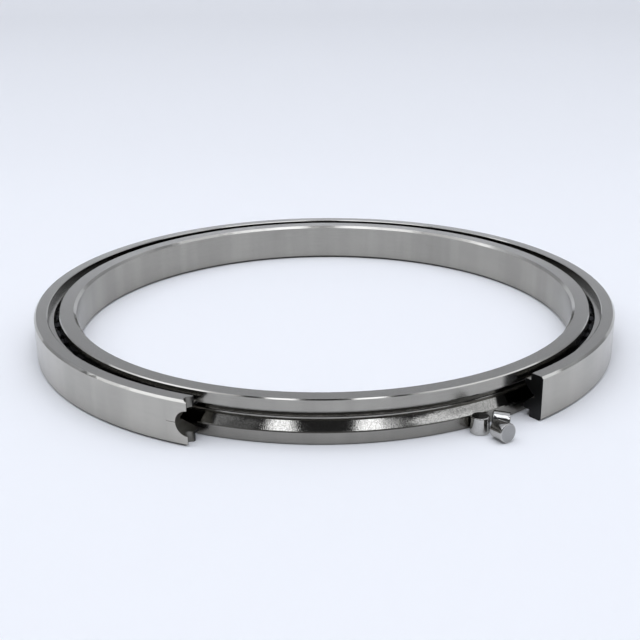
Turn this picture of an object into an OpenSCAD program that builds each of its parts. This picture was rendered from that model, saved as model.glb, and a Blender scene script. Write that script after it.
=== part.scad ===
// Thin-section crossed roller bearing, shown with a sector of its outer ring cut away.
// The origin is on the bearing axis at mid width, +Z is the axis, and the cut faces -Y.
// Angles named "az" are measured about the axis from -Y towards +X.

/* [Rings] */
// Bore diameter
bore_d = 160; // [140:1:180]
// Radial thickness of the whole bearing, from the bore to the outside
section_h = 13; // [11.5:0.1:16]
// Width of both rings
width = 13; // [12:0.5:20]
// Radial gap between the two lands
land_gap = 1.5; // [0.8:0.1:2.2]
// Bore chamfer of the inner ring
bore_chamfer = 0.8; // [0.3:0.1:1.2]
// Outer chamfer of the inner ring
inner_chamfer = 0.3; // [0.2:0.1:1]
// Outer chamfer of the outer ring
outer_chamfer = 0.6; // [0.3:0.1:1.2]
// Radial width of the ledge that the outer ring's faces step down to
ledge_w = 2; // [0.8:0.1:3]
// Depth of that step below the face
ledge_depth = 2.1; // [0.5:0.1:2.4]
// Broken edges at the lands and at the step
edge_break = 0.2; // [0.05:0.05:0.3]

/* [Rollers] */
// Diameter of a roller at its big end
roller_d = 5.4; // [4.8:0.1:5.6]
// Half angle of a roller's taper
roller_taper = 3.5; // [1:0.5:5]
// Chamfer at both ends of a roller
roller_chamfer = 0.3; // [0.15:0.05:0.5]
// Angle from one roller to the next
roller_pitch = 5; // [4.8:0.1:5.3]
// Rollers left between the rings
roller_count = 52; // [24:2:52]
// Gap between a roller's side and each raceway
running_gap = 0.03; // [0.01:0.01:0.08]
// Gap between a roller's big end and the raceway that guides it
end_gap = 0.06; // [0.05:0.01:0.12]
// Gap between a roller's small end and the corner of the inner raceway
tail_gap = 0.05; // [0.03:0.01:0.3]

/* [Raceway relief] */
// Width of the relief groove at the bottom of each raceway
relief_w = 1; // [0.6:0.1:1.6]
// Depth of the relief groove below the corner of the raceway
relief_depth = 0.25; // [0.1:0.05:0.6]

/* [Separators] */
// Thickness of a separator at its edges
separator_t = 4; // [3.4:0.1:4.6]
// Height of a separator along the bearing axis
separator_h = 5.8; // [4:0.1:6.4]
// Width of the flat that clears the relief grooves
separator_flat = 1.6; // [1:0.1:2.4]
// Gap between a separator and the raceways
separator_gap = 0.15; // [0.08:0.01:0.3]
// Gap between a separator and its rollers
saddle_gap = 0.08; // [0.05:0.01:0.15]

/* [Cut-away] */
// Azimuth of the left cut
cut_left_az = -22.5; // [-40:0.5:-10]
// Azimuth of the right cut
cut_right_az = 39; // [35:0.5:50]

/* [Filling hole] */
// Diameter of the radial hole that the rollers go in by
filling_d = 7.2; // [6.4:0.1:8]
// Distance of its axis past the left cut
filling_offset = 0.1; // [0:0.1:1.5]
// Diameter of the hole for the pin that locks its plug
pin_hole_d = 3; // [1.5:0.1:3]
// Distance of the pin hole's axis from the outside of the ring
pin_hole_depth = 1.7; // [1.5:0.1:2.4]
// Length of the scribed line beside the filling hole
scribe_l = 2.7; // [1:0.1:6]
// Width of the scribed line
scribe_w = 0.2; // [0.1:0.05:0.4]
// Depth of the scribed line
scribe_depth = 0.12; // [0.05:0.01:0.2]

/* [Loose rollers] */
// Azimuth of the roller that stands on its big end
standing_az = 27.8; // [20:0.1:30]
// Gap between the loose rollers and what is next to them
loose_gap = 0.3; // [0.2:0.05:0.8]
// Turn of the rear lying roller away from the standing one
rear_turn = 8.5; // [0:0.5:12]
// Distance of its middle behind the standing one
rear_back = 1.5; // [0:0.1:1.8]
// Turn of the front lying roller away from the right, towards the front
front_turn = 56; // [35:1:60]
// Room left between the two lying rollers, beyond a roller's diameter
front_gap = 0.9; // [0.8:0.1:3]
// Distance of the front one's middle to the left of the rear one's
front_left = 0.4; // [0:0.1:1]

/* [Hidden] */
$fn = 180;
half_w = width / 2;
bore_r = bore_d / 2;
outer_r = bore_r + section_h;
big_r = roller_d / 2;

// Section through the rollers. The end faces run square to the roller axis, so the outer
// raceways stand at tilt from the bearing plane and guide the big ends, and the inner
// raceways are steeper by the full taper. A roller is as long as the inner corner allows.
tilt = 45 - roller_taper / 2;
axis_tilt = 90 - tilt;
inner_tilt = axis_tilt + roller_taper;
corner_r = (end_gap + running_gap) / 2 / sin(tilt);
corner_z = (running_gap - end_gap) / 2 / cos(tilt);
rim_z = corner_z + roller_d * sin(tilt);
wedge_gap = running_gap / sin(inner_tilt);
slant_l = rim_z / sin(inner_tilt) - tail_gap;
roller_l = slant_l * cos(roller_taper);
small_r = big_r - slant_l * sin(roller_taper);
race_span = corner_r + roller_d * cos(tilt) + rim_z / tan(inner_tilt) + wedge_gap;
race_r = (bore_r + outer_r) / 2;
race_out_r = race_r + race_span / 2;
race_in_r = race_r - race_span / 2;
widest_r = race_out_r - roller_d * cos(tilt);
inner_land_r = widest_r - land_gap / 2;
outer_land_r = widest_r + land_gap / 2;
step_r = outer_land_r + ledge_w;
inner_v = (inner_land_r - race_in_r) * tan(inner_tilt);
outer_v = (race_out_r - outer_land_r) * tan(tilt);

// Middle of a roller's big end in the section, and the middle of the roller
big_end_r = race_out_r - corner_r - big_r * cos(tilt);
big_end_z = corner_z + big_r * sin(tilt);

// The rollers are spread evenly about the middle of the closed part of the outer ring
closed_angle = 360 - (cut_right_az - cut_left_az);
closed_mid_az = cut_right_az + closed_angle / 2;
first_roller_az = closed_mid_az - (roller_count - 1) * roller_pitch / 2;

// Places of the loose rollers on the surface that the bearing rests on
standing_r = inner_land_r + big_r + loose_gap;
standing_at = [standing_r * sin(standing_az), -standing_r * cos(standing_az)];
rear_reach = big_r + loose_gap + slant_l / 2 + rear_back * sin(rear_turn);
rear_at = standing_at + [rear_reach / cos(rear_turn), rear_back];
front_at = rear_at - [front_left, roller_d + front_gap];

roller_names = [for (i = [1 : roller_count]) str("roller_", i < 10 ? "0" : "", i)];

// World angle of an azimuth
function turn_of(az) = az - 90;

module outer_ring_section() {
    polygon([
        [outer_r - outer_chamfer, half_w],
        [step_r + edge_break, half_w],
        [step_r, half_w - edge_break],
        [step_r, half_w - ledge_depth],
        [outer_land_r + edge_break, half_w - ledge_depth],
        [outer_land_r, half_w - ledge_depth - edge_break],
        [outer_land_r, outer_v + edge_break],
        [outer_land_r + edge_break * cos(tilt), outer_v - edge_break * sin(tilt)],
        [race_out_r - relief_w / 2 / tan(tilt), relief_w / 2],
        [race_out_r + relief_depth, relief_w / 2],
        [race_out_r + relief_depth, -relief_w / 2],
        [race_out_r - relief_w / 2 / tan(tilt), -relief_w / 2],
        [outer_land_r + edge_break * cos(tilt), edge_break * sin(tilt) - outer_v],
        [outer_land_r, -outer_v - edge_break],
        [outer_land_r, ledge_depth + edge_break - half_w],
        [outer_land_r + edge_break, ledge_depth - half_w],
        [step_r, ledge_depth - half_w],
        [step_r, edge_break - half_w],
        [step_r + edge_break, -half_w],
        [outer_r - outer_chamfer, -half_w],
        [outer_r, outer_chamfer - half_w],
        [outer_r, half_w - outer_chamfer]
    ]);
}

module inner_ring_section() {
    polygon([
        [bore_r + bore_chamfer, half_w],
        [bore_r, half_w - bore_chamfer],
        [bore_r, bore_chamfer - half_w],
        [bore_r + bore_chamfer, -half_w],
        [inner_land_r - inner_chamfer, -half_w],
        [inner_land_r, inner_chamfer - half_w],
        [inner_land_r, -inner_v - edge_break],
        [inner_land_r - edge_break * cos(inner_tilt), edge_break * sin(inner_tilt) - inner_v],
        [race_in_r + relief_w / 2 / tan(inner_tilt), -relief_w / 2],
        [race_in_r - relief_depth, -relief_w / 2],
        [race_in_r - relief_depth, relief_w / 2],
        [race_in_r + relief_w / 2 / tan(inner_tilt), relief_w / 2],
        [inner_land_r - edge_break * cos(inner_tilt), inner_v - edge_break * sin(inner_tilt)],
        [inner_land_r, inner_v + edge_break],
        [inner_land_r, half_w - inner_chamfer],
        [inner_land_r - inner_chamfer, half_w]
    ]);
}

// Hole that the rollers were filled in by, with the pin hole across it
module filling_hole() {
    rotate([0, 0, turn_of(cut_left_az)]) {
        translate([race_r, filling_offset, 0])
            rotate([0, 90, 0])
                cylinder(d = filling_d, h = outer_r);
        translate([outer_r - pin_hole_depth, filling_offset, -width])
            cylinder(d = pin_hole_d, h = 2 * width);
    }
}

// Fine line scratched at mid width, up to the edge of the filling hole
module scribe_line() {
    reach = filling_d / 2 - filling_offset;
    rotate([0, 0, turn_of(cut_left_az) - reach / outer_r * 180 / PI])
        translate([outer_r - scribe_depth, -scribe_l, -scribe_w / 2])
            cube([1, scribe_l + 0.1, scribe_w]);
}

module outer_ring() {
    color("lightsteelblue")
    difference() {
        rotate([0, 0, turn_of(cut_right_az)])
            rotate_extrude(angle = closed_angle)
                outer_ring_section();
        filling_hole();
        scribe_line();
    }
}

module inner_ring() {
    color("silver")
    rotate_extrude()
        inner_ring_section();
}

// Tapered roller on +Z, with its small end at z = 0
module tapered_roller() {
    rotate_extrude($fn = 48)
        polygon([
            [0, 0],
            [small_r - roller_chamfer, 0],
            [small_r + roller_chamfer * tan(roller_taper), roller_chamfer],
            [big_r - roller_chamfer * tan(roller_taper), roller_l - roller_chamfer],
            [big_r - roller_chamfer, roller_l],
            [0, roller_l]
        ]);
}

// Carries its child from +Z to the place of one roller between the raceways. Odd rollers
// lean up and even ones lean down, which is what crosses their axes.
module roller_place(i) {
    rotate([0, 0, turn_of(first_roller_az + (i - 1) * roller_pitch)])
        mirror([0, 0, 1 - i % 2])
            translate([big_end_r, 0, big_end_z])
                rotate([0, 90 - axis_tilt, 0])
                    translate([0, 0, -roller_l])
                        children();
}

module roller(i) {
    color("gainsboro")
    roller_place(i)
        tapered_roller();
}

// Room that a roller takes out of the separators beside it
module saddle() {
    reach = 3;
    spread = reach * tan(roller_taper);
    translate([0, 0, -reach])
        cylinder(
            r1 = small_r - spread + saddle_gap,
            r2 = big_r + spread + saddle_gap,
            h = roller_l + 2 * reach,
            $fn = 48
        );
}

module separator_section() {
    flat = separator_flat / 2;
    top = separator_h / 2;
    inner_r = race_in_r + separator_gap / sin(inner_tilt);
    rim_r = race_out_r - separator_gap / sin(tilt);
    polygon([
        [inner_r + flat / tan(inner_tilt), flat],
        [inner_r + flat / tan(inner_tilt), -flat],
        [inner_r + top / tan(inner_tilt), -top],
        [rim_r - top / tan(tilt), -top],
        [rim_r - flat / tan(tilt), -flat],
        [rim_r - flat / tan(tilt), flat],
        [rim_r - top / tan(tilt), top],
        [inner_r + top / tan(inner_tilt), top]
    ]);
}

// Spacer between roller i and the next one, with a saddle for each
module separator(i) {
    spread = separator_t / race_r * 180 / PI;
    az = first_roller_az + (i - 0.5) * roller_pitch;
    difference() {
        rotate([0, 0, turn_of(az) - spread / 2])
            rotate_extrude(angle = spread)
                separator_section();
        roller_place(i)
            saddle();
        roller_place(i + 1)
            saddle();
    }
}

module separators() {
    color("tan")
    for (i = [1 : roller_count - 1])
        separator(i);
}

module loose_roller_standing() {
    color("gainsboro")
    translate([standing_at.x, standing_at.y, roller_l - half_w])
        mirror([0, 0, 1])
            tapered_roller();
}

// Roller on its side, resting on a line of its cone, with its big end along the heading
module lying_roller(at, heading) {
    translate([at.x, at.y, -half_w])
        rotate([0, 0, heading])
            translate([-slant_l / 2 - small_r * sin(roller_taper), 0, small_r * cos(roller_taper)])
                rotate([0, 90 - roller_taper, 0])
                    tapered_roller();
}

module loose_roller_rear() {
    color("gainsboro")
    lying_roller(rear_at, 180 - rear_turn);
}

module loose_roller_front() {
    color("gainsboro")
    lying_roller(front_at, -front_turn);
}

outer_ring();
inner_ring();
separators();
loose_roller_standing();
loose_roller_rear();
loose_roller_front();
for (i = [1 : roller_count])
    roller(i);
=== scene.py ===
import bpy
import math
import numpy as np
from mathutils import Matrix, Vector


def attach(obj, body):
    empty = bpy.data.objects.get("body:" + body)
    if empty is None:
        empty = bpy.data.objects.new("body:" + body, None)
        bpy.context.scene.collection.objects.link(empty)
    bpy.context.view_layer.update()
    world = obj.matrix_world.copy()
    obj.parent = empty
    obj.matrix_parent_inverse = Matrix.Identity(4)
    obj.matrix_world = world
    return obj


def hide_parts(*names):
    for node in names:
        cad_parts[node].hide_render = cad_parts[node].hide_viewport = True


# Thin-section crossed roller bearing on a pale studio sweep. Everything is in metres, with the
# bearing axis on Z, mid width at z = 0 and the cut-away sector towards -Y.
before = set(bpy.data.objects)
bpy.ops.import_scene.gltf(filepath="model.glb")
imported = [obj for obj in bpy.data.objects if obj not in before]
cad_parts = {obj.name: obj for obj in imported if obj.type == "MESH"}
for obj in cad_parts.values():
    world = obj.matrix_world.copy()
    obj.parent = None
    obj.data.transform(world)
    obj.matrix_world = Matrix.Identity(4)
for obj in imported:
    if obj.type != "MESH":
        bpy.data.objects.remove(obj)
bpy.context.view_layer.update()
scene = bpy.context.scene
scene.view_settings.view_transform = "Standard"
floorZ = -0.0065                        # the bearing and the loose rollers lie at this height

cameraSettings = {
    "place": (0.0, -0.33927, 0.12297),
    "turn": -0.004,                     # radians from +Y towards +X
    "dip": 0.357,                       # radians below the horizon
    "roll": -0.009,
    "lens": 61.18, "sensor": 36.0,      # mm
    "clipStart": 0.01, "clipEnd": 20.0,
}


# The camera looks along the direction with the given turn and dip; its right and up vectors are
# then rolled about that direction.
def placeCamera(settings):
    data = bpy.data.cameras.new("studioCamera")
    data.lens = settings["lens"]
    data.sensor_width = settings["sensor"]
    data.clip_start = settings["clipStart"]
    data.clip_end = settings["clipEnd"]
    camera = bpy.data.objects.new("studioCamera", data)
    scene.collection.objects.link(camera)
    turn, dip, roll = settings["turn"], settings["dip"], settings["roll"]
    ahead = Vector((math.sin(turn) * math.cos(dip), math.cos(turn) * math.cos(dip), -math.sin(dip)))
    right = Vector((math.cos(turn), -math.sin(turn), 0.0))
    up = right.cross(ahead)
    rolledRight = math.cos(roll) * right + math.sin(roll) * up
    rolledUp = math.cos(roll) * up - math.sin(roll) * right
    axes = Matrix((rolledRight, rolledUp, -ahead)).transposed()
    camera.matrix_world = Matrix.Translation(settings["place"]) @ axes.to_4x4()
    scene.camera = camera


placeCamera(cameraSettings)
print("camera placed")


# Smooth mesh from an array of points and a list of face arrays, one array for each number of corners
def meshFrom(name, points, faceSets):
    corners = np.concatenate([np.full(len(faces), faces.shape[1]) for faces in faceSets])
    mesh = bpy.data.meshes.new(name)
    mesh.vertices.add(len(points))
    mesh.vertices.foreach_set("co", np.ascontiguousarray(points, dtype=np.float32).ravel())
    mesh.loops.add(int(corners.sum()))
    order = np.concatenate([faces.ravel() for faces in faceSets])
    mesh.loops.foreach_set("vertex_index", np.ascontiguousarray(order, dtype=np.int32))
    mesh.polygons.add(len(corners))
    mesh.polygons.foreach_set("loop_start", (np.cumsum(corners) - corners).astype(np.int32))
    mesh.polygons.foreach_set("use_smooth", np.full(len(corners), True))
    mesh.update(calc_edges=True)
    mesh.validate()
    piece = bpy.data.objects.new(name, mesh)
    scene.collection.objects.link(piece)
    return piece


# Quads between the points of a grid that is numbered row by row; closed joins the last column back
# to the first.
def gridQuads(rows, columns, closed=False):
    across = np.arange(columns if closed else columns - 1)
    row, column = np.meshgrid(np.arange(rows - 1) * columns, across, indexing="ij")
    following = (column + 1) % columns
    quads = [row + column, row + following, row + columns + following, row + columns + column]
    return np.stack(quads, axis=-1).reshape(-1, 4)


# Links each socket that is given another node's output, and sets the others to their values
def setSockets(tree, node, sockets):
    for key, value in sockets.items():
        if isinstance(value, bpy.types.NodeSocket):
            tree.links.new(value, node.inputs[key])
        else:
            node.inputs[key].default_value = value


def addNode(tree, kind, sockets=None, **properties):
    made = tree.nodes.new(kind)
    for key, value in properties.items():
        setattr(made, key, value)
    setSockets(tree, made, sockets or {})
    return made


def newMaterial(name):
    material = bpy.data.materials.new(name)
    material.use_nodes = True
    tree = material.node_tree
    tree.nodes.clear()
    output = tree.nodes.new("ShaderNodeOutputMaterial")
    shader = tree.nodes.new("ShaderNodeBsdfPrincipled")
    tree.links.new(shader.outputs["BSDF"], output.inputs["Surface"])
    return material, tree, shader


def maths(tree, operation, a, b=0.0):
    return addNode(tree, "ShaderNodeMath", {0: a, 1: b}, operation=operation).outputs[0]


def product(tree, first, *others):
    for other in others:
        first = maths(tree, "MULTIPLY", first, other)
    return first


# 1 where a value lies between two limits, and 0 elsewhere
def between(tree, value, least, greatest):
    return product(tree, maths(tree, "GREATER_THAN", value, least), maths(tree, "LESS_THAN", value, greatest))


def objectPlace(tree):
    return addNode(tree, "ShaderNodeTexCoord").outputs["Object"]


def noise(tree, vector, scale, detail, roughness=0.5):
    return addNode(tree, "ShaderNodeTexNoise", {
        "Vector": vector, "Scale": scale, "Detail": detail, "Roughness": roughness,
    }).outputs["Fac"]


# Carries a value from one range to another, and holds it at both ends
def mapped(tree, value, source, target=(0.0, 1.0)):
    return addNode(tree, "ShaderNodeMapRange", {
        "Value": value, "From Min": source[0], "From Max": source[1], "To Min": target[0], "To Max": target[1],
    }).outputs["Result"]


def bumped(tree, height, strength, depth, **normal):
    sockets = {"Height": height, "Strength": strength, "Distance": depth, **normal}
    return addNode(tree, "ShaderNodeBump", sockets).outputs["Normal"]


# Ramp between stops given as (position, value); a value is a grey level or a colour
def ramp(tree, factor, stops):
    made = addNode(tree, "ShaderNodeValToRGB", {"Fac": factor})
    while len(made.color_ramp.elements) < len(stops):
        made.color_ramp.elements.new(0.5)
    for element, (position, value) in zip(made.color_ramp.elements, stops):
        element.position = position
        element.color = (*value, 1.0) if isinstance(value, tuple) else (value, value, value, 1.0)
    return made.outputs["Color"]


def mixColour(tree, factor, a, b):
    a, b = [value if isinstance(value, bpy.types.NodeSocket) else (*value, 1.0) for value in (a, b)]
    return addNode(tree, "ShaderNodeMix", {0: factor, 6: a, 7: b}, data_type="RGBA").outputs[2]


def mixValue(tree, factor, a, b):
    return addNode(tree, "ShaderNodeMix", {0: factor, 2: a, 3: b}, data_type="FLOAT").outputs[0]


# Leaves a share of a colour where the factor is 1
def shaded(tree, factor, colour, share):
    return mixColour(tree, factor, colour, mixColour(tree, share, (0.0, 0.0, 0.0), colour))


stageSettings = {
    "near": -1.6, "bendStart": 0.155, "bendRadius": 0.36, "height": 1.9, "halfWidth": 2.2,
    "flatSteps": 24, "bendSteps": 48, "riseSteps": 24, "sideSteps": 32,
    "floorColour": (0.896, 0.898, 0.913), "roughness": 0.9,
    "fibreScale": 900.0, "fibreDetail": 3.0, "fibreBump": 0.05, "fibreDepth": 0.0002,
    # painted shade and light on the paper: share of the floor's colour left at each height above it, dipping and
    # rising with height so the steel reflects bands of painted light and shade; the small brighter step is a painted
    # light line at the horizon
    "fade": [
        (0.0, 1.0), (0.0008, 1.04), (0.0014, 1.0), (0.0095, 0.985), (0.0265, 0.965), (0.0465, 0.93),
        (0.0695, 0.87), (0.1100, 0.98), (0.1380, 0.98), (0.1480, 0.80), (0.1650, 0.62), (0.1840, 0.50),
        (0.2150, 0.53), (0.2500, 0.60), (0.3065, 0.60), (0.4565, 0.66), (0.6265, 0.85), (0.8565, 0.95),
    ],
}
# Softboxes that hang level over the set: two turned strips in front, a panel behind each of them,
# banks and dimmer panels further out at both sides, and a dim one overhead. The fill hangs higher,
# lights the paper and leaves no reflection in the steel.
lampSettings = {
    "leftStrip": {"place": (-0.2485, -0.525, 1.0), "size": (0.185, 1.05), "radiance": 2.3, "turn": -14.0},
    "leftRearPanel": {"place": (-0.335, -0.09, 1.0), "size": (0.28, 0.17), "radiance": 2.0},
    "rightStrip": {"place": (0.262, -0.525, 1.0), "size": (0.195, 1.05), "radiance": 2.35, "turn": 14.0},
    "rightRearPanel": {"place": (0.335, -0.09, 1.0), "size": (0.28, 0.17), "radiance": 2.0},
    "rightStripEdge": {"place": (0.470, -0.70, 1.0), "size": (0.10, 0.36), "radiance": 0.85, "turn": 14.0},
    "rightDimPanel": {"place": (0.575, -0.665, 1.0), "size": (0.07, 0.41), "radiance": 0.25},
    "leftInnerPanel": {"place": (-0.585, -0.08, 1.0), "size": (0.23, 0.76), "radiance": 0.95},
    "leftBank": {"place": (-0.975, 0.01, 1.0), "size": (0.55, 0.98), "radiance": 1.8},
    "leftFarBank": {"place": (-1.45, 0.15, 1.0), "size": (0.40, 0.70), "radiance": 1.2},
    "leftFrontPanel": {"place": (-0.85, -0.66, 1.0), "size": (0.30, 0.34), "radiance": 0.27},
    "leftDimPanel": {"place": (-0.585, -0.66, 1.0), "size": (0.23, 0.34), "radiance": 0.14},
    "rightInnerPanel": {"place": (0.585, -0.07, 1.0), "size": (0.23, 0.74), "radiance": 1.1},
    "rightBank": {"place": (0.90, -0.07, 1.0), "size": (0.40, 0.74), "radiance": 1.35},
    "rightFrontBank": {"place": (0.79, -0.58, 1.0), "size": (0.34, 0.28), "radiance": 1.25},
    "rightFarBank": {"place": (1.29, -0.42, 1.0), "size": (0.66, 0.60), "radiance": 0.76},
    "rightRearBank": {"place": (1.43, 0.165, 1.0), "size": (0.66, 0.57), "radiance": 1.25},
    "overheadPanel": {"place": (0.0, 0.20, 1.0), "size": (0.90, 0.92), "radiance": 0.55},
    "paperFill": {"place": (0.0, 0.0, 1.5), "size": (1.8, 1.8), "radiance": 1.12, "reflects": False},
}
lampColour = (0.92, 0.955, 1.03)        # cool enough for warm steel to read neutral
# Dim studio air by height: grey low down, nearly black higher up. The room in front is darker.
airSettings = {
    "low": (0.43, 0.45, 0.48), "front": (0.14, 0.145, 0.15), "high": (0.03, 0.031, 0.033),
    "heightRange": (0.34, 0.68), "frontRange": (-0.35, -0.80),
}


# Sweep: along v the path runs flat from the near edge to the bend, round a quarter circle and
# straight up; along u it is carried sideways over the full width.
def studioSweep(settings):
    start, radius = settings["bendStart"], settings["bendRadius"]
    flat = np.linspace(settings["near"], start, settings["flatSteps"])
    bend = np.linspace(0.0, math.pi / 2, settings["bendSteps"])[1:]
    rise = np.linspace(floorZ + radius, floorZ + settings["height"], settings["riseSteps"])[1:]
    y = np.concatenate([flat, start + radius * np.sin(bend), np.full(len(rise), start + radius)])
    height = np.concatenate([np.full(len(flat), floorZ), floorZ + radius * (1 - np.cos(bend)), rise])
    x = np.linspace(-settings["halfWidth"], settings["halfWidth"], settings["sideSteps"])
    points = np.empty((len(y), len(x), 3))
    points[..., 0] = x[None, :]
    points[..., 1] = y[:, None]
    points[..., 2] = height[:, None]
    return meshFrom("studioSweep", points.reshape(-1, 3), [gridQuads(len(y), len(x))])


# Paper: the colour changes with height from the floor's tone by the fade's painted shade and light, on a fine fibre
# bump
def sweepMaterial(settings):
    material, tree, shader = newMaterial("palePaper")
    place = objectPlace(tree)
    height = addNode(tree, "ShaderNodeSeparateXYZ", {0: place}).outputs["Z"]
    top = settings["fade"][-1][0]
    stops = [(rise / top, tuple(share * part for part in settings["floorColour"]))
             for rise, share in settings["fade"]]
    fibre = noise(tree, place, settings["fibreScale"], settings["fibreDetail"])
    setSockets(tree, shader, {
        "Base Color": ramp(tree, mapped(tree, height, (floorZ, floorZ + top)), stops),
        "Normal": bumped(tree, fibre, settings["fibreBump"], settings["fibreDepth"]),
        "Roughness": settings["roughness"], "Specular IOR Level": 0.0,
    })
    return material


# A level softbox whose power gives the radiance asked for: power = pi x area x radiance
def addLamp(name, facts):
    width, depth = facts["size"]
    data = bpy.data.lights.new(name, "AREA")
    data.shape = "RECTANGLE"
    data.size = width
    data.size_y = depth
    data.energy = math.pi * width * depth * facts["radiance"]
    data.color = lampColour
    lamp = bpy.data.objects.new(name, data)
    scene.collection.objects.link(lamp)
    lamp.location = facts["place"]
    lamp.rotation_euler.z = math.radians(facts.get("turn", 0.0))
    lamp.visible_glossy = facts.get("reflects", True)


def studioAir(settings):
    air = bpy.data.worlds.new("studioAir")
    air.use_nodes = True
    tree = air.node_tree
    direction = addNode(tree, "ShaderNodeTexCoord").outputs["Generated"]
    split = addNode(tree, "ShaderNodeSeparateXYZ", {0: direction})
    front = mapped(tree, split.outputs["Y"], settings["frontRange"])
    climb = mapped(tree, split.outputs["Z"], settings["heightRange"])
    low = mixColour(tree, front, settings["low"], settings["front"])
    setSockets(tree, tree.nodes["Background"], {"Color": mixColour(tree, climb, low, settings["high"])})
    return air


sweep = studioSweep(stageSettings)
sweep.data.materials.append(sweepMaterial(stageSettings))
for lampName, lampFacts in lampSettings.items():
    addLamp(lampName, lampFacts)
scene.world = studioAir(airSettings)
print("stage and lamps ready")


# Turned coordinates of a point: distance from the axis, height, and the cosine and sine of its
# angle, so that a pattern can run round the axis with no seam.
def turnedCoordinates(tree):
    place = objectPlace(tree)
    split = addNode(tree, "ShaderNodeSeparateXYZ", {0: place})
    x, y, z = split.outputs["X"], split.outputs["Y"], split.outputs["Z"]
    radius = maths(tree, "SQRT", maths(tree, "ADD", product(tree, x, x), product(tree, y, y)))
    cosine = maths(tree, "DIVIDE", x, radius)
    sine = maths(tree, "DIVIDE", y, radius)
    return {"place": place, "radius": radius, "z": z, "cosine": cosine, "sine": sine}


# Grinding lines that run round the axis: noise that changes fast with radius and height and
# slowly with the angle.
def roundLines(tree, turned, settings):
    fine, along = settings["lineScale"], settings["lineAlong"]
    vector = addNode(tree, "ShaderNodeCombineXYZ", {
        "X": product(tree, turned["radius"], fine),
        "Y": product(tree, turned["z"], fine),
        "Z": product(tree, turned["cosine"], along),
    }).outputs[0]
    return addNode(tree, "ShaderNodeTexNoise", {
        "Vector": vector, "W": product(tree, turned["sine"], along),
        "Scale": 1.0, "Detail": settings["lineDetail"], "Roughness": settings["noiseRoughness"],
    }, noise_dimensions="4D").outputs["Fac"]


# Limits of the flat normal's parts: its height for upright and for level faces, and its part along
# the turning direction for turned and for cut faces
facingLimits = {"upright": 0.25, "level": 0.95, "turned": 0.06, "across": 0.75}


# Which way a surface faces, as masks from 0 to 1: slanted for raceways and chamfers, under for the
# slanted ones that face down, across for faces that stand square to the turning direction, which
# only the two cuts have, and upright for lands, walls and the bore. The normal has its small facet
# error taken out: on turned faces it is the outward and upward parts of the flat one, laid along the
# point's own radius.
def facingMasks(tree, turned, limits):
    flat = addNode(tree, "ShaderNodeNewGeometry").outputs["True Normal"]
    flat = addNode(tree, "ShaderNodeVectorTransform", {0: flat}, vector_type="NORMAL",
                   convert_from="WORLD", convert_to="OBJECT").outputs[0]
    split = addNode(tree, "ShaderNodeSeparateXYZ", {0: flat})
    x, y, z = split.outputs["X"], split.outputs["Y"], split.outputs["Z"]
    cosine, sine = turned["cosine"], turned["sine"]
    lean = maths(tree, "ABSOLUTE", z)
    slanted = between(tree, lean, limits["upright"], limits["level"])
    tangential = maths(tree, "SUBTRACT", product(tree, y, cosine), product(tree, x, sine))
    tangential = maths(tree, "ABSOLUTE", tangential)
    outward = maths(tree, "ADD", product(tree, x, cosine), product(tree, y, sine))
    turnedNormal = addNode(tree, "ShaderNodeCombineXYZ", {
        "X": product(tree, outward, cosine), "Y": product(tree, outward, sine), "Z": z}).outputs[0]
    isTurned = maths(tree, "LESS_THAN", tangential, limits["turned"])
    normal = addNode(tree, "ShaderNodeMix", {0: isTurned, 4: flat, 5: turnedNormal}, data_type="VECTOR").outputs[1]
    normal = addNode(tree, "ShaderNodeVectorTransform", {0: normal}, vector_type="NORMAL",
                     convert_from="OBJECT", convert_to="WORLD").outputs[0]
    return {
        "normal": addNode(tree, "ShaderNodeVectorMath", {0: normal}, operation="NORMALIZE").outputs[0],
        "slanted": slanted,
        "under": product(tree, slanted, maths(tree, "LESS_THAN", z, 0.0)),
        "across": maths(tree, "GREATER_THAN", tangential, limits["across"]),
        "upright": maths(tree, "LESS_THAN", lean, limits["upright"]),
    }


ringSteelSettings = {
    "colour": (0.505, 0.487, 0.446), "darkColour": (0.445, 0.431, 0.397), "blendRange": (0.36, 0.64),
    "cloudScale": 55.0, "cloudDetail": 4.0, "noiseRoughness": 0.6,
    # painted shade: lands and bore are darker than the side faces by this share
    "wallShadeShare": 0.80,                                   # lands and bore against the side faces
    "streakTint": 0.90, "streakScale": 11.0,            # faint upright streaks on the walls
    "streakDetail": 3.0, "streakRange": (0.38, 0.60),
    # painted shade on raceways and chamfers that face down, by this share
    "underShadeShare": 0.52,                                  # raceways and chamfers that face down
    # painted shade: the two cut faces are near black
    "cutShadeColour": (0.034, 0.034, 0.035), "cutRoughness": 0.34,
    "groundRoughness": (0.27, 0.17),                    # side faces and walls, dark and light places
    "lappedRoughness": 0.075,                           # raceways
    "chamferRoughness": 0.11, "chamferHeight": 0.0054,  # the chamfers are all further out than this
    "boreChamferRoughness": 0.15, "boreChamferReach": 0.0815,
    "lineScale": 9000.0, "lineAlong": 9.0, "lineDetail": 3.0, "lineBump": 0.14, "lineDepth": 0.00002,
    "slantedLineBump": 0.056,
    "grainScale": 3200.0, "grainDetail": 2.0, "grainBump": 0.46, "grainDepth": 0.00002,
    "grainTint": 0.66, "grainRange": (0.42, 0.56),
    "hollowRadius": 0.032, "flankMiddle": 0.00155,      # raceways are very slightly hollow across
}


# Distance of the surface from a straight line through a place along a unit direction
def distanceFromLine(tree, place, through, along):
    offset = addNode(tree, "ShaderNodeVectorMath", {0: place, 1: through}, operation="SUBTRACT").outputs[0]
    cross = addNode(tree, "ShaderNodeVectorMath", {0: offset, 1: along}, operation="CROSS_PRODUCT").outputs[0]
    return addNode(tree, "ShaderNodeVectorMath", {0: cross}, operation="LENGTH").outputs["Value"]


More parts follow.
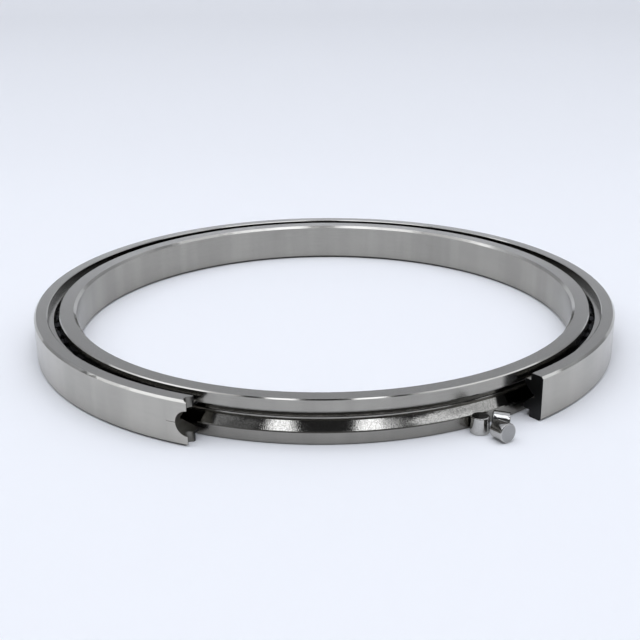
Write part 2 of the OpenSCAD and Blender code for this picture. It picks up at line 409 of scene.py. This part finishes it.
# 1 inside a drilled hole, only on its own side of the bearing axis
def holeMask(tree, place, hole):
    near = addNode(tree, "ShaderNodeVectorMath", {0: place, 1: hole["side"]}, operation="DOT_PRODUCT")
    distance = distanceFromLine(tree, place, hole["through"], hole["along"])
    return product(tree, maths(tree, "LESS_THAN", distance, hole["radius"]),
                   maths(tree, "GREATER_THAN", near.outputs["Value"], 0.0))


# Colour of ground steel: the blend of lines and clouding, walls with painted shade and faint streaks, painted shade
# on faces that look down, sparkling raceways, the darker walls of the dictionary, and cut faces painted near black
# as shade
def ringColour(tree, turned, facing, blend, grain, raceway, settings):
    low, high = settings["blendRange"]
    steel = ramp(tree, blend, [(low, settings["darkColour"]), (high, settings["colour"])])
    around = addNode(tree, "ShaderNodeCombineXYZ", {"X": turned["cosine"], "Y": turned["sine"]}).outputs[0]
    streak = noise(tree, around, settings["streakScale"], settings["streakDetail"])
    low, high = settings["streakRange"]
    streak = ramp(tree, streak, [(low, 0.0), (high, 1.0)])
    wall = shaded(tree, streak, shaded(tree, 1.0, steel, settings["wallShadeShare"]), settings["streakTint"])
    steel = mixColour(tree, facing["upright"], steel, wall)
    steel = shaded(tree, facing["under"], steel, settings["underShadeShare"])
    low, high = settings["grainRange"]
    steel = shaded(tree, raceway, steel, ramp(tree, grain, [(low, settings["grainTint"]), (high, 1.0)]))
    # painted shade on the outer ring's gap land and step wall; the inner ring's lower land is a little darker
    for darkerWall in settings.get("darkerWalls", []):
        ring = between(tree, turned["radius"], *darkerWall["radii"])
        ring = product(tree, ring, maths(tree, "LESS_THAN", turned["z"], darkerWall["below"]), facing["upright"])
        steel = shaded(tree, ring, steel, darkerWall["share"])
    return mixColour(tree, facing["across"], steel, settings["cutShadeColour"])


# Roughness: ground faces by the blend, smoother raceways and chamfers, and the two cut faces
def ringRoughness(tree, turned, facing, blend, chamfer, settings):
    ground = mapped(tree, blend, settings["blendRange"], settings["groundRoughness"])
    smooth = mixValue(tree, chamfer, settings["lappedRoughness"], settings["chamferRoughness"])
    boreChamfer = maths(tree, "LESS_THAN", turned["radius"], settings["boreChamferReach"])
    smooth = mixValue(tree, boreChamfer, smooth, settings["boreChamferRoughness"])
    roughness = mixValue(tree, facing["slanted"], ground, product(tree, blend, 2.0, smooth))
    return mixValue(tree, facing["across"], roughness, settings["cutRoughness"])


# Bump: grinding lines, then the grain of the raceways, then their hollow, whose height is the
# square of the rise from the flank's middle, over the hollow's radius
def ringBump(tree, facing, lines, grain, raceway, height, settings):
    lineStrength = mixValue(tree, facing["slanted"], settings["lineBump"], settings["slantedLineBump"])
    normal = bumped(tree, lines, lineStrength, settings["lineDepth"], Normal=facing["normal"])
    grainStrength = product(tree, raceway, settings["grainBump"])
    normal = bumped(tree, grain, grainStrength, settings["grainDepth"], Normal=normal)
    climb = maths(tree, "SUBTRACT", height, settings["flankMiddle"])
    hollow = product(tree, climb, climb, 1.0 / settings["hollowRadius"])
    return bumped(tree, hollow, raceway, 1.0, Normal=normal)


# Ground steel: round grinding lines in bump and roughness, a faint clouding of the colour and faint streaks on the
# walls. Raceways are lapped smoother and carry a fine sparkling grain, chamfers are a little duller, and the two cut
# faces are painted near black as shade. The dictionary may add darker walls, each with its least and greatest
# radius, greatest height and share of the colour, and drilled holes.
def ringSteel(name, settings):
    material, tree, shader = newMaterial(name)
    turned = turnedCoordinates(tree)
    facing = facingMasks(tree, turned, facingLimits)
    lines = roundLines(tree, turned, settings)
    cloud = noise(tree, turned["place"], settings["cloudScale"], settings["cloudDetail"])
    grain = noise(tree, turned["place"], settings["grainScale"], settings["grainDetail"], settings["noiseRoughness"])
    blend = product(tree, maths(tree, "ADD", lines, cloud), 0.5)
    height = maths(tree, "ABSOLUTE", turned["z"])
    chamfer = maths(tree, "GREATER_THAN", height, settings["chamferHeight"])
    raceway = product(tree, facing["slanted"], maths(tree, "SUBTRACT", 1.0, chamfer))
    colour = ringColour(tree, turned, facing, blend, grain, raceway, settings)
    roughness = ringRoughness(tree, turned, facing, blend, chamfer, settings)
    for hole in settings.get("holes", []):
        inside = holeMask(tree, turned["place"], hole)
        colour = mixColour(tree, inside, colour, hole["colour"])
        roughness = mixValue(tree, inside, roughness, hole["roughness"])
    setSockets(tree, shader, {
        "Base Color": colour, "Roughness": roughness, "Metallic": 1.0,
        "Normal": ringBump(tree, facing, lines, grain, raceway, height, settings),
    })
    return material


rollerSteelSettings = {
    "colour": (0.530, 0.520, 0.498), "darkColour": (0.450, 0.442, 0.425),
    "endRoughness": 0.24,
    "roughness": (0.12, 0.06),                          # dark and light places of the grain
    "grainScale": 2600.0, "grainDetail": 3.0, "grainRange": (0.35, 0.65),
    "grainBump": 0.08, "grainDepth": 0.00001,
}


# Lapped roller steel with a fine even grain. Where the dictionary has a painted shade colour for the ground end
# faces, which the piece marks with its own attribute, they take that darker colour and are duller.
def rollerSteel(name, settings):
    material, tree, shader = newMaterial(name)
    grain = noise(tree, objectPlace(tree), settings["grainScale"], settings["grainDetail"])
    low, high = settings["grainRange"]
    colour = ramp(tree, grain, [(low, settings["darkColour"]), (high, settings["colour"])])
    roughness = mapped(tree, grain, settings["grainRange"], settings["roughness"])
    if "endShadeColour" in settings:
        end = addNode(tree, "ShaderNodeAttribute", attribute_name="endFace").outputs["Fac"]
        colour = mixColour(tree, end, colour, settings["endShadeColour"])
        roughness = mixValue(tree, end, roughness, settings["endRoughness"])
    setSockets(tree, shader, {
        "Base Color": colour, "Roughness": roughness, "Metallic": 1.0,
        "Normal": bumped(tree, grain, settings["grainBump"], settings["grainDepth"]),
    })
    return material


separatorSettings = {
    "colour": (0.014, 0.014, 0.015), "darkColour": (0.008, 0.008, 0.009), "gloss": 0.12,
    "roughness": (0.42, 0.58), "mottleScale": 900.0, "mottleDetail": 4.0, "mottleRange": (0.3, 0.7),
    "mottleBump": 0.1, "mottleDepth": 0.00003,
}


# Moulded separator plastic, near black and slightly mottled
def separatorPlastic(settings):
    material, tree, shader = newMaterial("mouldedSeparatorPlastic")
    mottle = noise(tree, objectPlace(tree), settings["mottleScale"], settings["mottleDetail"])
    low, high = settings["mottleRange"]
    setSockets(tree, shader, {
        "Base Color": ramp(tree, mottle, [(low, settings["darkColour"]), (high, settings["colour"])]),
        "Roughness": mapped(tree, mottle, settings["mottleRange"], settings["roughness"]),
        "Normal": bumped(tree, mottle, settings["mottleBump"], settings["mottleDepth"]),
        "Specular IOR Level": settings["gloss"],
    })
    return material


def dress(nodeName, material):
    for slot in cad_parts[nodeName].material_slots:
        slot.material = material


# The two holes of the outer ring were drilled before its sector was cut out, and the left cut goes
# through both: the filling hole lies along the cut, a little beside it, and the pin hole upright.
holeAngle = math.radians(-112.5)
holeSide = (math.cos(holeAngle), math.sin(holeAngle), 0.0)
holeShift = 0.0001
holeOffset = (-holeShift * holeSide[1], holeShift * holeSide[0], 0.0)
pinRadius = 0.0913                      # distance of the pin hole from the bearing axis
pinPlace = tuple(pinRadius * side + offset for side, offset in zip(holeSide, holeOffset))
# The outer ring's land in the gap and the wall of its step are painted near black as shade.
outerRingSettings = {
    **ringSteelSettings,
    "wallShadeShare": 1.0,
    "darkerWalls": [
        {"radii": (0.0860, 0.0873), "below": 1.0, "share": 0.10},
        {"radii": (0.0884, 0.0893), "below": 1.0, "share": 0.15},
    ],
    "holes": [
        {"side": holeSide, "through": holeOffset, "along": holeSide, "radius": 0.00365,
         "colour": (0.155, 0.150, 0.132), "roughness": 0.46},
        {"side": holeSide, "through": pinPlace, "along": (0.0, 0.0, 1.0), "radius": 0.00155,
         "colour": (0.190, 0.184, 0.168), "roughness": 0.36},
    ],
}
# The inner ring's lower land is a little darker.
innerRingSettings = {
    **ringSteelSettings,
    "darkerWalls": [{"radii": (0.0845, 0.0860), "below": -0.002, "share": 0.80}],
}
# The roller train in the races is painted near black, as painted shade in the narrow gap between the rings.
trainSteelSettings = {
    **rollerSteelSettings,
    "colour": (0.018, 0.017, 0.015), "darkColour": (0.010, 0.0095, 0.008), "roughness": (0.48, 0.34),
}
dress("outer_ring", ringSteel("groundOuterRingSteel", outerRingSettings))
dress("inner_ring", ringSteel("groundInnerRingSteel", innerRingSettings))
dress("separators", separatorPlastic(separatorSettings))
trainShadeSteel = rollerSteel("shadedTrainRollerSteel", trainSteelSettings)
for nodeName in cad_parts:
    if nodeName.startswith("roller_"):
        dress(nodeName, trainShadeSteel)
print("rings, separators and the roller train dressed")


# The three loose rollers: one stands on its big end, and two lie on their sides, each with its big
# end along its heading.
looseRollerSettings = {
    "bigRadius": 0.0027, "smallRadius": 0.0024109, "length": 0.0047268, "slant": 0.0047356,
    "halfAngle": math.radians(3.5), "rim": 0.00030,
    "rimSteps": 8, "sideSteps": 6, "segments": 128,
    "faceRings": (0.5, 0.97),           # rings of points on the end faces, as shares of their radius
    # Each roller's end colour is painted shade, darkest on the standing roller's top end.
    "standing": {
        "piece": "standingRoller", "node": "loose_roller_standing",
        "at": (0.0412126, -0.0781667), "endShadeColour": (0.130, 0.129, 0.126),
    },
    "lying": [
        {"piece": "rearLyingRoller", "node": "loose_roller_rear", "at": (0.0468642, -0.0766667),
         "heading": math.radians(171.5), "endShadeColour": (0.30, 0.298, 0.290)},
        {"piece": "frontLyingRoller", "node": "loose_roller_front", "at": (0.0464642, -0.0829667),
         "heading": math.radians(-56.0), "endShadeColour": (0.34, 0.338, 0.330)},
    ],
}


# Half section of a roller from the middle of its small end to the middle of its big end, as
# (radius, height) pairs and an end face mark for each. Each rim is an arc that touches the end and
# the tapering side: its middle stands one rim radius from both.
def rollerProfile(settings):
    rim, angle, length = settings["rim"], settings["halfAngle"], settings["length"]
    smallMiddle = settings["smallRadius"] - rim * (1.0 / math.cos(angle) - math.tan(angle))
    bigMiddle = settings["bigRadius"] - rim * (1.0 / math.cos(angle) + math.tan(angle))
    smallArc = np.linspace(-math.pi / 2, -angle, settings["rimSteps"])
    bigArc = np.linspace(-angle, math.pi / 2, settings["rimSteps"])
    small = np.stack([smallMiddle + rim * np.cos(smallArc), rim + rim * np.sin(smallArc)], axis=1)
    big = np.stack([bigMiddle + rim * np.cos(bigArc), length - rim + rim * np.sin(bigArc)], axis=1)
    inner = np.array(settings["faceRings"])
    smallFace = np.stack([inner * smallMiddle, np.zeros(len(inner))], axis=1)
    bigFace = np.stack([inner[::-1] * bigMiddle, np.full(len(inner), length)], axis=1)
    share = np.linspace(0.0, 1.0, settings["sideSteps"])[1:-1, None]
    side = small[-1] + share * (big[0] - small[-1])
    profile = np.concatenate([smallFace, small, side, big, bigFace])
    marks = np.zeros(len(profile))
    marks[:len(inner)] = marks[-len(inner):] = 1.0
    return profile, marks


# Turns a half section round Z, closes both ends with a fan about a point on the axis, and carries
# the result by a matrix.
def turnedPiece(name, profile, marks, length, segments, place):
    angles = np.arange(segments) * 2.0 * math.pi / segments
    radius, height = profile[:, 0], profile[:, 1]
    rings = np.empty((len(profile), segments, 3))
    rings[..., 0] = radius[:, None] * np.cos(angles)
    rings[..., 1] = radius[:, None] * np.sin(angles)
    rings[..., 2] = height[:, None]
    points = np.concatenate([rings.reshape(-1, 3), [[0.0, 0.0, 0.0], [0.0, 0.0, length]]])
    matrix = np.array(place)
    points = points @ matrix[:3, :3].T + matrix[:3, 3]
    around = np.arange(segments)
    onward = (around + 1) % segments
    top = (len(profile) - 1) * segments
    low, high = len(points) - 2, len(points) - 1
    lowFan = np.stack([np.full(segments, low), onward, around], axis=1)
    highFan = np.stack([np.full(segments, high), top + around, top + onward], axis=1)
    piece = meshFrom(name, points, [gridQuads(len(profile), segments, closed=True), lowFan, highFan])
    mark = piece.data.attributes.new("endFace", "FLOAT", "POINT")
    values = np.concatenate([np.repeat(marks, segments), [1.0, 1.0]])
    mark.data.foreach_set("value", values.astype(np.float32))
    return piece


def looseRoller(facts, settings, place):
    profile, marks = rollerProfile(settings)
    piece = turnedPiece(facts["piece"], profile, marks, settings["length"], settings["segments"], place)
    steel = {**rollerSteelSettings, "endShadeColour": facts["endShadeColour"]}
    piece.data.materials.append(rollerSteel(facts["piece"] + "Steel", steel))
    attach(piece, "outer_race")
    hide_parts(facts["node"])


# A standing roller is turned over so that its big end is down. A lying one is leaned until its
# side rests on the surface, and then turned to its heading.
def placeLooseRollers(settings):
    angle, standing = settings["halfAngle"], settings["standing"]
    place = Matrix.Translation((*standing["at"], floorZ + settings["length"])) @ Matrix.Rotation(math.pi, 4, "X")
    looseRoller(standing, settings, place)
    back = settings["slant"] / 2 + settings["smallRadius"] * math.sin(angle)
    lift = settings["smallRadius"] * math.cos(angle)
    for facts in settings["lying"]:
        heading = Matrix.Translation((*facts["at"], floorZ)) @ Matrix.Rotation(facts["heading"], 4, "Z")
        lean = Matrix.Translation((-back, 0.0, lift)) @ Matrix.Rotation(math.pi / 2 - angle, 4, "Y")
        looseRoller(facts, settings, heading @ lean)


placeLooseRollers(looseRollerSettings)
print("loose rollers placed")
